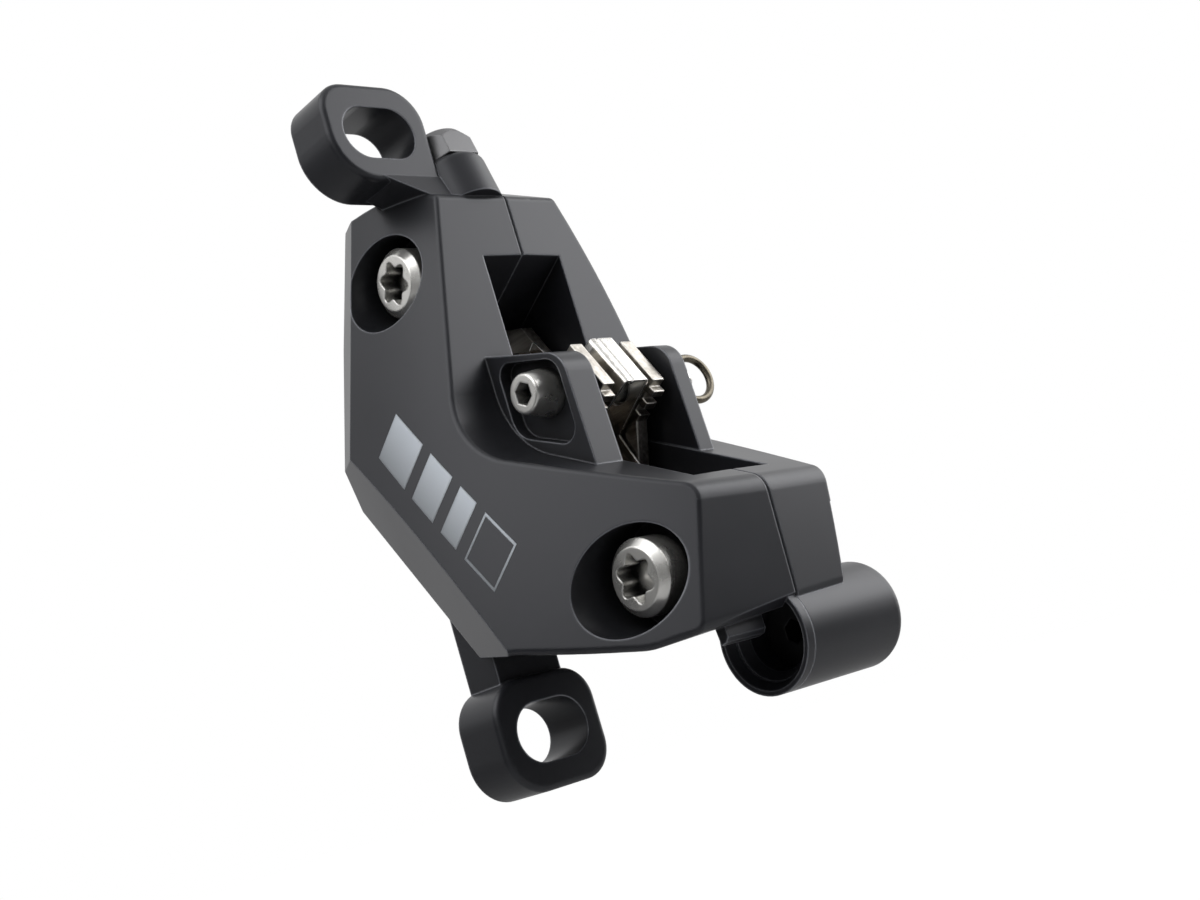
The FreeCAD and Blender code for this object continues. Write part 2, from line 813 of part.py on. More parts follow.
def safety_ring():
    """Wire ring through the pad bolt's cross hole, swung a little towards the front."""
    hole = pad_point(pad_bolt_end_x() - cross_hole_from_tip, 0, 0)
    swing = math.radians(ring_swing)
    sideways = Vector(1, 0, 0).cross(cross_hole_direction())
    toward = Vector(math.cos(swing), 0, 0) + sideways * math.sin(swing)
    normal = toward.cross(cross_hole_direction())
    sagitta = ring_radius - math.sqrt(ring_radius ** 2 - pad_bolt_tip_radius ** 2)
    centre = hole + toward * (ring_radius - sagitta / 2)
    return Part.makeTorus(ring_radius, ring_wire, centre, normal)


def body_bolt(place, head_x):
    """Cap screw that clamps the halves, with a six-lobe socket."""
    y, z = place
    axis = Vector(1, 0, 0)
    head = rod(bolt_head_radius, head_x, head_x + bolt_head_height, y, z)
    crown = [e for e in head.Edges if abs(e.CenterOfMass.x - head_x) < edge_tolerance]
    head = head.makeChamfer(bolt_head_bevel, crown)
    shank = rod(bolt_shank_radius, head_x + bolt_head_height, seam_x + bolt_thread_depth - bolt_tip_gap, y, z)
    bolt = head.fuse(shank).removeSplitter()
    return bolt.cut(six_lobe(lobe_depth, Vector(head_x, y, z), axis))


def recess_cutter(place, head_x):
    """Recess for a body bolt's head and the clearance hole behind it."""
    y, z = place
    floor_x = head_x + bolt_head_height
    recess = rod(recess_radius, -far, floor_x, y, z)
    hole = rod(bolt_shank_radius + bolt_clearance, floor_x - 1, seam_x + 1, y, z)
    return recess.fuse(hole)


def hose_axis():
    """Direction of the hose port, out of the body."""
    lean = math.radians(hose_tilt)
    return Vector(0, math.sin(lean), math.cos(lean))


def hose_boss():
    """Round boss that carries the hose port."""
    mouth = Vector(hose_x, hose_y, hose_z)
    start = mouth - hose_axis() * hose_boss_length
    boss = Part.makeCylinder(hose_boss_radius, hose_boss_length, start, hose_axis())
    lip = [e for e in boss.Edges if (e.CenterOfMass - mouth).Length < edge_tolerance]
    return boss.makeFillet(hose_lip_round, lip)


def hose_seat():
    """Clearance above the boss for the hose union's hex."""
    mouth = Vector(hose_x, hose_y, hose_z)
    return Part.makeCylinder(hose_seat_radius, 2 * hose_boss_length, mouth, hose_axis())


def hose_port():
    """Port bore and the passage from it to the transfer hole."""
    mouth = Vector(hose_x, hose_y, hose_z)
    floor = mouth - hose_axis() * hose_port_depth
    bore_radius = hose_shank_radius + hose_port_clearance
    bore = Part.makeCylinder(bore_radius, hose_port_depth + 2, floor, hose_axis())
    target = Vector(hose_x, transfer_y, transfer_z)
    run = target - floor
    passage = Part.makeCylinder(transfer_radius, run.Length, floor, run)
    across = rod(transfer_radius, hose_x - transfer_radius, seam_x + 1, transfer_y, transfer_z)
    return bore.fuse([passage, across])


def hose_union():
    """Hex union for the hose, with a shank in the port and a bore for the hose."""
    mouth = Vector(hose_x, hose_y, hose_z)
    axis = hose_axis()
    head = hexagon(hose_hex, hose_hex_length, mouth, axis)
    corner = hose_hex / math.sqrt(3)
    foot_growth, top_growth = hose_hex_crown
    dome = Part.makeCone(corner + foot_growth, corner + top_growth, hose_hex_length, mouth, axis)
    head = head.common(dome)
    shank_start = mouth - axis * hose_shank_length
    shank = Part.makeCylinder(hose_shank_radius, hose_shank_length, shank_start, axis)
    bore_start = mouth + axis * (hose_hex_length - hose_bore_depth)
    bore = Part.makeCylinder(hose_bore_radius, hose_bore_depth + 1, bore_start, axis)
    feed = Part.makeCylinder(transfer_radius, far, shank_start - axis, axis)
    return head.fuse(shank).removeSplitter().cut(bore).cut(feed)


def hose_seal():
    """O-ring between the hose union's shank and the floor of its port."""
    mouth = Vector(hose_x, hose_y, hose_z)
    axis = hose_axis()
    floor = mouth - axis * hose_port_depth
    centre = floor + axis * (hose_seal_wire + hose_seal_gap)
    major = hose_shank_radius - hose_seal_wire - hose_seal_gap
    return Part.makeTorus(major, hose_seal_wire, centre, axis)


def transfer_seal():
    """O-ring round the fluid passage at the seam."""
    middle = (transfer_seal_inner + transfer_seal_outer) / 2
    wire = (transfer_seal_outer - transfer_seal_inner) / 2
    centre = Vector(seam_x - wire - transfer_seal_gap, transfer_y, transfer_z)
    return Part.makeTorus(middle, wire, centre, Vector(1, 0, 0))


def bleed_boss(x0, x1):
    """Round boss along X for the bleed port."""
    return rod(bleed_boss_radius, x0, x1, bleed_y, bleed_z)


def bleed_mouth():
    """Countersunk mouth of the bleed port."""
    cone = Part.makeCone(bleed_mouth_radius, bleed_bore_radius, bleed_mouth_depth,
                         Vector(bleed_ring_x, bleed_y, bleed_z), Vector(1, 0, 0))
    bore = rod(bleed_bore_radius, bleed_ring_x, bleed_bore_end_x, bleed_y, bleed_z)
    return cone.fuse(bore)


def bleed_screw_start_x():
    """X of the bleed screw's outer face."""
    return bleed_bore_end_x - bleed_screw_seat_gap - bleed_screw_length


def bleed_screw():
    """Bleed screw with a hex socket and a groove for its seal."""
    x0 = bleed_screw_start_x()
    x1 = x0 + bleed_screw_length
    radius = bleed_bore_radius - bleed_screw_clearance
    body = rod(radius, x0, x1, bleed_y, bleed_z)
    groove_x = x0 + bleed_groove_x
    groove_end = groove_x + 2 * bleed_seal_wire
    groove = ring(radius - 2 * bleed_seal_wire, radius + 1, groove_x, groove_end, bleed_y, bleed_z)
    socket = hexagon(bleed_hex, bleed_hex_depth, Vector(x0, bleed_y, bleed_z), Vector(1, 0, 0))
    return body.cut(groove).cut(socket)


def bleed_seal():
    """O-ring in the bleed screw's groove."""
    centre = Vector(bleed_screw_start_x() + bleed_groove_x + bleed_seal_wire, bleed_y, bleed_z)
    wire = bleed_seal_wire - seal_squeeze
    major = bleed_bore_radius - seal_squeeze - wire
    return Part.makeTorus(major, wire, centre, Vector(1, 0, 0))


def inboard_face_x(y, z):
    """X of the domed inboard face over a point of the side view."""
    from_front = y - inboard_front_y
    dome = inboard_dome * (z - inboard_dome_z) ** 2
    return inboard_base - dome + inboard_tilt * from_front - inboard_bow * from_front ** 2


def soften(body, face_x):
    """Rounds the chain of edges that runs from the front edge round a domed side face."""
    on_face = [e for e in body.Edges if all(abs(v.X - face_x(v.Y, v.Z)) < edge_tolerance for v in e.Vertexes)]
    front = [e for e in on_face if e.Length > 10 and abs(e.CenterOfMass.y - front_y) < 1.0]
    return body.makeFillet(face_round, front)


def outboard_half():
    """Outboard body half with its ears, lug, bosses, pocket, bores and ports."""
    body = half_blank(-1)
    for cutter in outboard_bevels():
        body = body.cut(cutter)
    body = soften(body, outboard_face_x)
    upper = mount_spacing / 2
    upper_ear = ear(upper_ear_low_z, upper + ear_reach, ear_upper_corners)
    lower_ear = ear(-upper - ear_reach, -upper + ear_reach, ear_lower_corners)
    neck_corner = Vector(neck_x, -neck_thickness, neck_low_z)
    neck = Part.makeBox(neck_width, neck_thickness, neck_high_z - neck_low_z, neck_corner)
    body = body.cut(post_room())
    body = body.fuse([upper_ear, ear_band(), lower_ear, neck, hose_boss()])
    body = body.fuse([lug(lug_outer_x, lug_outer_x + lug_thickness), lug_rim()])
    body = body.cut(arm_bevel())
    body = body.fuse([bleed_lip(), bleed_boss(bleed_ring_x, seam_x)])
    cutters = [slot_cutter(upper), slot_cutter(-upper), pad_pocket(), rotor_slot(), bleed_mouth()]
    cutters.append(recess_cutter(body_bolt_upper, upper_head_x))
    cutters.append(recess_cutter(body_bolt_lower, lower_head_x))
    cutters.extend([hose_seat(), hose_port()])
    cutters.append(beyond_plane(Vector(seam_x, 0, 0), Vector(1, 0, 0)))
    groove_depth = transfer_seal_outer - transfer_seal_inner + transfer_groove_clearance
    groove_radius = transfer_seal_outer + transfer_groove_clearance
    cutters.append(rod(groove_radius, seam_x - groove_depth, seam_x + 1, transfer_y, transfer_z))
    hole_radius = pad_bolt_radius + pad_bolt_clearance
    cutters.append(pad_rod(hole_radius, lug_outer_x - 1, lug_outer_x + lug_thickness + 1, 0, 0))
    cutters.extend(outboard_bores())
    for cutter in cutters:
        body = body.cut(cutter)
    return body.removeSplitter()


def inboard_half():
    """Inboard body half with its lug, bleed boss, pocket, bores and passages."""
    body = soften(half_blank(1), inboard_face_x).cut(inboard_step_cutter())
    body = body.fuse(mirrored(lug(lug_outer_x, lug_outer_x + lug_thickness)))
    boss = bleed_boss(seam_x, bleed_boss_end_x)
    end = [e for e in boss.Edges if abs(e.CenterOfMass.x - bleed_boss_end_x) < edge_tolerance]
    body = body.fuse(boss.makeFillet(bleed_boss_round, end))
    cutters = [pad_pocket(), rotor_slot(), bleed_mouth(), hose_seat()]
    for place in (body_bolt_upper, body_bolt_lower):
        radius = bolt_shank_radius + thread_clearance
        cutters.append(rod(radius, seam_x - 1, seam_x + bolt_thread_depth, place[0], place[1]))
    cutters.append(rod(transfer_radius, seam_x - 1, seam_x + transfer_reach, transfer_y, transfer_z))
    hole_radius = pad_bolt_radius + pad_bolt_clearance
    inboard_lug_x = 2 * seam_x - lug_outer_x
    cutters.append(pad_rod(hole_radius, inboard_lug_x - lug_thickness - 1, inboard_lug_x + 1, 0, 0))
    for cutter in outboard_bores():
        cutters.append(mirrored(cutter))
    bleed_x = bleed_bore_end_x - bleed_passage_from_end
    start = Vector(bleed_x, bleed_y, bleed_z)
    run = pad_point(bleed_x, -piston_offset_u, piston_line_r) - start
    cutters.append(Part.makeCylinder(bleed_passage_radius, run.Length, start, run))
    for cutter in cutters:
        body = body.cut(cutter)
    return body.removeSplitter()


def all_parts():
    """Every piece of the caliper, by node name."""
    parts = {
        "outboard_body": outboard_half(),
        "inboard_body": inboard_half(),
        "body_bolt_upper": body_bolt(body_bolt_upper, upper_head_x),
        "body_bolt_lower": body_bolt(body_bolt_lower, lower_head_x),
        "outboard_backing_plate": plate_outboard(),
        "inboard_backing_plate": mirrored(plate_outboard()),
        "outboard_friction_pad": friction_outboard(),
        "inboard_friction_pad": mirrored(friction_outboard()),
        "pad_spring": spring(),
        "pad_retaining_bolt": pad_bolt(),
        "safety_ring": safety_ring(),
        "hose_fitting": hose_union(),
        "hose_fitting_seal": hose_seal(),
        "transfer_port_seal": transfer_seal(),
        "bleed_screw": bleed_screw(),
        "bleed_screw_seal": bleed_seal(),
    }
    for name, u in piston_places():
        parts["piston_outboard_" + name] = piston_outboard(u)
        parts["piston_inboard_" + name] = mirrored(piston_outboard(u))
        parts["piston_seal_outboard_" + name] = seal_outboard(u)
        parts["piston_seal_inboard_" + name] = mirrored(seal_outboard(u))
    return parts


def main():
    """Writes each piece to its own STEP file."""
    os.makedirs("parts", exist_ok=True)
    for name, shape in all_parts().items():
        print(name, shape.isValid(), len(shape.Solids), round(shape.Volume, 1))
        shape.exportStep(os.path.join("parts", name + ".step"))


main()
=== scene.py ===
"""Looks of a hydraulic disc brake caliper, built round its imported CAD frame.

The frame's nodes keep their shapes and get procedural finishes. The folded pad spring, the pad bolt's thread
and the printed bars are surfaces of this script, made as arrays from a formula that each docstring gives.
"""

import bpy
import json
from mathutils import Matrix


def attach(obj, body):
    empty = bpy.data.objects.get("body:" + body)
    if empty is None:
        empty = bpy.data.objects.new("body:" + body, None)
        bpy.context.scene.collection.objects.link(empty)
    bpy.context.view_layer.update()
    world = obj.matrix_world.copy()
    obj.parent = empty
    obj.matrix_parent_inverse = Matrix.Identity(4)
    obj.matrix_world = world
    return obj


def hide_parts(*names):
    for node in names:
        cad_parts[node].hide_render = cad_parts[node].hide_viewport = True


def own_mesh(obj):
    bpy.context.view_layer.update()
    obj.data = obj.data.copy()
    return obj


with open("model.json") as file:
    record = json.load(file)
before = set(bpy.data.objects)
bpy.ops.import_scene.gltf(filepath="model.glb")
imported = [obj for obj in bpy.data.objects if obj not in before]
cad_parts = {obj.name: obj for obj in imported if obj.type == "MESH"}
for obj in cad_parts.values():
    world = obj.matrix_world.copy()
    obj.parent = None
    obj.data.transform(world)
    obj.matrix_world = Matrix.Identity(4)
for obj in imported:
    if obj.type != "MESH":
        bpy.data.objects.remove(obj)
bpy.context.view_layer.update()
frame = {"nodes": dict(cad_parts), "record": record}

import json
import logging
import math
from dataclasses import dataclass, field
from enum import Enum

import bmesh
import bpy
import numpy as np
from mathutils import Matrix, Vector

log = logging.getLogger("caliper")

# The seam and the pads' slanted frame, in metres

MM = 0.001
SEAM_X = 0.015
PAD_TILT = math.radians(28.0)
PAD_BOLT = np.array([0.0, -0.0158, -0.00015])
ACROSS_SEAM = np.array([1.0, 0.0, 0.0])
ALONG_PAD = np.array([0.0, math.sin(PAD_TILT), math.cos(PAD_TILT)])
INTO_ROTOR = np.array([0.0, math.cos(PAD_TILT), -math.sin(PAD_TILT)])

# The printed row as Y and Z in millimetres, and the share of its colour that is left at its lower line

PRINT_START = (2.15, -0.95)
PRINT_END = (-12.61, -22.02)
PRINT_HEIGHT = 5.0
PRINT_SHADE = 0.42

# Settings that hold for every mesh or shader group

SHARP_ANGLE = math.radians(35)
MERGE_DISTANCE = 1e-7
BEVEL_SAMPLES = 6
SKY_SAMPLES = 8
PATCH_SCALE = 220.0
PATCH_DETAIL = 3.0
GRAIN_DETAIL = 2.0
CLOUD_DETAIL = 4.0
STREAK_DETAIL = 3.0
CLOUD_ENDS = (0.3, 0.7)
WHITE = (1.0, 1.0, 1.0, 1.0)

# Sockets of Blender's mix node by number, and the types of a group's sockets

MIX_NUMBERS = (2, 3)
MIX_COLOURS = (6, 7)
MIX_COLOUR_OUT = 2
NUMBER = "NodeSocketFloat"
NORMAL = "NodeSocketVector"

Socket = bpy.types.NodeSocket
Feed = Socket | float | tuple[float, ...] | Vector
Ends = tuple[Feed, Feed]
Span = tuple[float, float]
Triple = tuple[float, float, float]


class Body(Enum):
    """The frame's body that the new pieces ride on."""

    CALIPER = "caliper"


class Slot(Enum):
    """The record's material slots."""

    BODY = "body_black"
    BOLT = "bolt_steel"
    PLATE = "plate_steel"
    LINING = "lining"
    SPRING = "spring_steel"
    RING = "ring_steel"
    FITTING = "fitting_grey"
    SCREW = "screw_black"
    SEAL = "seal_rubber"
    PISTON = "piston_phenolic"


# Node trees


class NodeBench:
    """Adds nodes to one tree and joins them."""

    def __init__(self, tree: bpy.types.NodeTree) -> None:
        """Takes the tree to work on."""
        self.tree = tree

    def node(self, kind: str, **settings: object) -> bpy.types.Node:
        """Adds a node.

        Args:
            kind: Blender's node type.
            settings: Properties to set on the node.

        Returns:
            The new node.
        """
        made = self.tree.nodes.new(kind)
        for key, value in settings.items():
            setattr(made, key, value)
        return made

    def feed(self, socket: Socket, value: Feed) -> None:
        """Joins an output to a socket, or sets a plain value there.

        Args:
            socket: The socket that takes the value.
            value: Another node's output, a number or several numbers.
        """
        if isinstance(value, Socket):
            self.tree.links.new(value, socket)
        else:
            socket.default_value = value

    def surface(self) -> bpy.types.Node:
        """The surface shader that a new material comes with."""
        return next(n for n in self.tree.nodes if n.type == "BSDF_PRINCIPLED")

    def place(self) -> Socket:
        """The place of a point on its object."""
        return self.node("ShaderNodeTexCoord").outputs["Object"]

    def maths(self, operation: str, first: Feed, second: Feed, clamp: bool = False) -> Socket:
        """Adds a maths node.

        Args:
            operation: Blender's name of the operation.
            first: The first value.
            second: The second value.
            clamp: Keeps the result between 0 and 1.

        Returns:
            The node's output.
        """
        made = self.node("ShaderNodeMath", operation=operation, use_clamp=clamp)
        self.feed(made.inputs[0], first)
        self.feed(made.inputs[1], second)
        return made.outputs[0]

    def dot(self, first: Feed, second: Feed) -> Socket:
        """Adds the dot product of two vectors.

        Args:
            first: The first vector.
            second: The second vector.

        Returns:
            The product.
        """
        made = self.node("ShaderNodeVectorMath", operation="DOT_PRODUCT")
        self.feed(made.inputs[0], first)
        self.feed(made.inputs[1], second)
        return made.outputs["Value"]

    def noise(self, place: Feed, scale: Feed, detail: float) -> Socket:
        """Adds a noise.

        Args:
            place: Where the noise is read.
            scale: Its scale.
            detail: Its detail.

        Returns:
            The noise, from 0 to 1.
        """
        made = self.node("ShaderNodeTexNoise")
        self.feed(made.inputs["Vector"], place)
        self.feed(made.inputs["Scale"], scale)
        self.feed(made.inputs["Detail"], detail)
        return made.outputs["Fac"]

    def map_range(self, value: Feed, source: Ends, target: Ends, smooth: bool = True) -> Socket:
        """Adds a map range node from one range to another.

        Args:
            value: The value that comes in.
            source: The first and last value that come in.
            target: The first and last value that go out.
            smooth: Eases in and out of the range.

        Returns:
            The value that goes out.
        """
        made = self.node("ShaderNodeMapRange", interpolation_type="SMOOTHSTEP" if smooth else "LINEAR")
        self.feed(made.inputs["Value"], value)
        for name, end in zip(("From Min", "From Max", "To Min", "To Max"), (*source, *target)):
            self.feed(made.inputs[name], end)
        return made.outputs[0]

    def mix(self, mask: Feed, first: Feed, second: Feed) -> Socket:
        """Mixes two numbers.

        Args:
            mask: The share of the second number.
            first: The first number.
            second: The second number.

        Returns:
            The mixed number.
        """
        made = self.node("ShaderNodeMix")
        for number, value in zip((0, *MIX_NUMBERS), (mask, first, second)):
            self.feed(made.inputs[number], value)
        return made.outputs[0]

    def mix_colours(self, mask: Feed, first: Feed, second: Feed, mode: str = "MIX") -> Socket:
        """Mixes two colours.

        Args:
            mask: The share of the second colour.
            first: The first colour.
            second: The second colour.
            mode: Blender's name of the way to mix.

        Returns:
            The mixed colour.
        """
        made = self.node("ShaderNodeMix", data_type="RGBA", blend_type=mode)
        for number, value in zip((0, *MIX_COLOURS), (mask, first, second)):
            self.feed(made.inputs[number], value)
        return made.outputs[MIX_COLOUR_OUT]

    def group(self, shared: bpy.types.ShaderNodeTree, **values: float) -> bpy.types.Node:
        """Places a shared group.

        Args:
            shared: The group.
            values: Its inputs by name.

        Returns:
            The group node.
        """
        made = self.node("ShaderNodeGroup", node_tree=shared)
        for name, value in values.items():
            self.feed(made.inputs[name], value)
        return made

    def rays(self) -> tuple[Socket, Socket]:
        """Adds the masks of camera rays, and of glossy or transmission rays.

        Returns:
            The two masks.
        """
        path = self.node("ShaderNodeLightPath")
        sharp = self.maths("MAXIMUM", path.outputs["Is Glossy Ray"], path.outputs["Is Transmission Ray"])
        return path.outputs["Is Camera Ray"], sharp


# Shared shader groups


class ShaderGroup(NodeBench):
    """A node group with named inputs and outputs that several finishes place with their own values."""

    def __init__(self, name: str, inputs: dict[str, float], outputs: dict[str, str]) -> None:
        """Starts an empty group.

        Args:
            name: The group's name.
            inputs: The number inputs by name, each with its value where a material gives none.
            outputs: The outputs by name, each with Blender's socket type.
        """
        super().__init__(bpy.data.node_groups.new(name, "ShaderNodeTree"))
        self.entry = self.node("NodeGroupInput")
        self.exit = self.node("NodeGroupOutput")
        interface = self.tree.interface
        for label, default in inputs.items():
            socket = interface.new_socket(name=label, in_out="INPUT", socket_type=NUMBER)
            socket.default_value = default
        for label, kind in outputs.items():
            interface.new_socket(name=label, in_out="OUTPUT", socket_type=kind)

    def given(self, name: str) -> Socket:
        """The value that a material gives to an input."""
        return self.entry.outputs[name]

    def give(self, name: str, value: Socket) -> None:
        """Sends a value out of the group."""
        self.feed(self.exit.inputs[name], value)


def build_edge_group() -> bpy.types.ShaderNodeTree:
    """Builds the edge group: the edge mask is one minus the cosine between the true and the rounded normal.

    The mask marks worn edges. Where a finish gives a light edge colour, as the body does, it also paints a
    highlight along them. A noise takes part of the mask away, so that an edge is worn in patches.

    Returns:
        The group, with the inputs Radius, Strength and Patchiness and the outputs WearAndHighlight and
        Rounded.
    """
    inputs = {"Radius": 0.3 * MM, "Strength": 6.0, "Patchiness": 0.5}
    group = ShaderGroup("edge_wear_and_highlight", inputs, {"WearAndHighlight": NUMBER, "Rounded": NORMAL})
    bevel = group.node("ShaderNodeBevel", samples=BEVEL_SAMPLES)
    group.feed(bevel.inputs["Radius"], group.given("Radius"))
    rounded = bevel.outputs[0]
    geometry = group.node("ShaderNodeNewGeometry")
    turn = group.maths("SUBTRACT", 1.0, group.dot(rounded, geometry.outputs["Normal"]))
    strong = group.maths("MULTIPLY", turn, group.given("Strength"))
    patches = group.noise(group.place(), PATCH_SCALE, PATCH_DETAIL)
    fade = group.maths("MULTIPLY", patches, group.given("Patchiness"))
    share = group.maths("SUBTRACT", 1.0, fade)
    group.give("WearAndHighlight", group.maths("MULTIPLY", strong, share, clamp=True))
    group.give("Rounded", rounded)
    return group.tree


def build_grain_group() -> bpy.types.ShaderNodeTree:
    """Builds the grain group: fine noise for a blasted skin, with a broad slow noise for its colour.

    Returns:
        The group, with the inputs Fine and Broad and the outputs Grain and Cloud.
    """
    group = ShaderGroup("blasted_grain", {"Fine": 6000.0, "Broad": 60.0}, {"Grain": NUMBER, "Cloud": NUMBER})
    place = group.place()
    for name, source, detail in (("Grain", "Fine", GRAIN_DETAIL), ("Cloud", "Broad", CLOUD_DETAIL)):
        group.give(name, group.noise(place, group.given(source), detail))
    return group.tree


def build_streak_group() -> bpy.types.ShaderNodeTree:
    """Builds the streak group: noise drawn out along Y for turned and ground metal.

    Returns:
        The group, with the inputs Across and Stretch and the output Streak.
    """
    group = ShaderGroup("ground_streaks", {"Across": 1800.0, "Stretch": 0.05}, {"Streak": NUMBER})
    factors = group.node("ShaderNodeCombineXYZ")
    for name, value in (("X", 1.0), ("Y", group.given("Stretch")), ("Z", 1.0)):
        group.feed(factors.inputs[name], value)
    squeeze = group.node("ShaderNodeVectorMath", operation="MULTIPLY")
    group.feed(squeeze.inputs[0], group.place())
    group.feed(squeeze.inputs[1], factors.outputs[0])
    group.give("Streak", group.noise(squeeze.outputs[0], group.given("Across"), STREAK_DETAIL))
    return group.tree


def build_crevice_group() -> bpy.types.ShaderNodeTree:
    """Builds the painted crevice shade: the share of open sky within the reach, eased from the floor up to
    one.

    Returns:
        The group, with the inputs Reach, Low, High and Floor and the output Open.
    """
    inputs = {"Reach": 2.0 * MM, "Low": 0.4, "High": 0.9, "Floor": 0.2}
    group = ShaderGroup("painted_crevice_shade", inputs, {"Open": NUMBER})
    sky = group.node("ShaderNodeAmbientOcclusion", samples=SKY_SAMPLES)
    group.feed(sky.inputs["Distance"], group.given("Reach"))
    source = (group.given("Low"), group.given("High"))
    group.give("Open", group.map_range(sky.outputs["AO"], source, (group.given("Floor"), 1.0)))
    return group.tree


@dataclass
class Groups:
    """The shared shader groups, built once."""

    edge: bpy.types.ShaderNodeTree = field(default_factory=build_edge_group)
    crevice: bpy.types.ShaderNodeTree = field(default_factory=build_crevice_group)
    grain: bpy.types.ShaderNodeTree = field(default_factory=build_grain_group)
    streak: bpy.types.ShaderNodeTree = field(default_factory=build_streak_group)


# Finishes


@dataclass(frozen=True)
class PaintedCreviceShade:
    """How a finish paints shade into hollows and dulls them, by the share of open sky that a point has
    within the reach.

    The colour falls to the floor where the share is low and is whole where it is high, so the darkening is
    painted shade.
    """

    reach: float
    low: float
    high: float
    floor: float
    roughness: float = 0.8


@dataclass(frozen=True)
class Finish:
    """One procedural finish with its colours and surface values.

    The base colour runs between dark and light by a broad cloud, and the bare and highlight colour shows
    along worn edges; on the body that light edge colour is partly a painted highlight. Roughness varies by
    spread, and the fine grain gives the bump. Where streaks are on, they stand for both cloud and grain.
    """

    name: str
    dark: Triple
    light: Triple
    bare_and_highlight: Triple
    metallic: float
    roughness: float
    spread: float = 0.08
    wear_roughness: float = 0.3
    edge_radius: float = 0.3 * MM
    wear_and_highlight: float = 4.0
    patchiness: float = 0.6
    fine: float = 6000.0
    broad: float = 60.0
    bump: float = 0.1
    bump_height: float = 0.02 * MM
    streaks: bool = False
    # Painted shade in hollows, where a finish has one
    crevice: PaintedCreviceShade | None = None

    def make(self, groups: Groups) -> bpy.types.Material:
        """Builds the finish as a node material.

        Args:
            groups: The shared shader groups.

        Returns:
            The material.
        """
        material = bpy.data.materials.new(self.name)
        material.use_nodes = True
        bench = NodeBench(material.node_tree)
        shader = bench.surface()
        bench.feed(shader.inputs["Metallic"], self.metallic)
        pattern, relief = self.patterns(bench, groups)
        edge = bench.group(
            groups.edge, Radius=self.edge_radius, Strength=self.wear_and_highlight, Patchiness=self.patchiness
        )
        wear_and_highlight = edge.outputs["WearAndHighlight"]
        ramp = bench.node("ShaderNodeValToRGB")
        for stop, place, tone in zip(ramp.color_ramp.elements, CLOUD_ENDS, (self.dark, self.light)):
            stop.position = place
            stop.color = (*tone, 1.0)
        bench.feed(ramp.inputs[0], pattern)
        # The edge colour is partly worn metal and partly a painted highlight on the rounded edges
        colour = bench.mix_colours(wear_and_highlight, ramp.outputs[0], (*self.bare_and_highlight, 1.0))
        levels = (self.roughness - self.spread, self.roughness + self.spread)
        varied = bench.map_range(pattern, (0.0, 1.0), levels, smooth=False)
        roughness = bench.mix(wear_and_highlight, varied, self.wear_roughness)
        # Paints shade into the hollows where the finish has a crevice shade
        if self.crevice:
            colour, roughness = self.paint_crevice_shade(bench, groups, colour, roughness)
        bench.feed(shader.inputs["Base Color"], colour)
        bench.feed(shader.inputs["Roughness"], roughness)
        bump = bench.node("ShaderNodeBump")
        bench.feed(bump.inputs["Strength"], self.bump)
        bench.feed(bump.inputs["Distance"], self.bump_height)
        bench.feed(bump.inputs["Height"], relief)
        bench.feed(bump.inputs["Normal"], edge.outputs["Rounded"])
        bench.feed(shader.inputs["Normal"], bump.outputs[0])
        return material

    def patterns(self, bench: NodeBench, groups: Groups) -> tuple[Socket, Socket]:
        """The pattern of the colour and the roughness, and the relief of the bump.

        Args:
            bench: The material's nodes.
            groups: The shared shader groups.

        Returns:
            The pattern and the relief.
        """
        if self.streaks:
            streak = bench.group(groups.streak).outputs["Streak"]
            return streak, streak
        grain = bench.group(groups.grain, Fine=self.fine, Broad=self.broad)
        return grain.outputs["Cloud"], grain.outputs["Grain"]

    def paint_crevice_shade(
        self, bench: NodeBench, groups: Groups, colour: Socket, roughness: Socket
    ) -> tuple[Socket, Socket]:
        """Paints shade into a colour in hollows and dulls the surface there.

        Args:
            bench: The material's nodes.
            groups: The shared shader groups.
            colour: The colour to darken with painted shade.
            roughness: The roughness to raise.

        Returns:
            The colour with painted shade and the raised roughness.
        """
        crevice = self.crevice
        shade = bench.group(
            groups.crevice, Reach=crevice.reach, Low=crevice.low, High=crevice.high, Floor=crevice.floor
        )
        clear = shade.outputs["Open"]
        # Painted shade: the colour is multiplied by the share of open sky
        shaded = bench.mix_colours(1.0, colour, clear, "MULTIPLY")
        return shaded, bench.mix(clear, crevice.roughness, roughness)


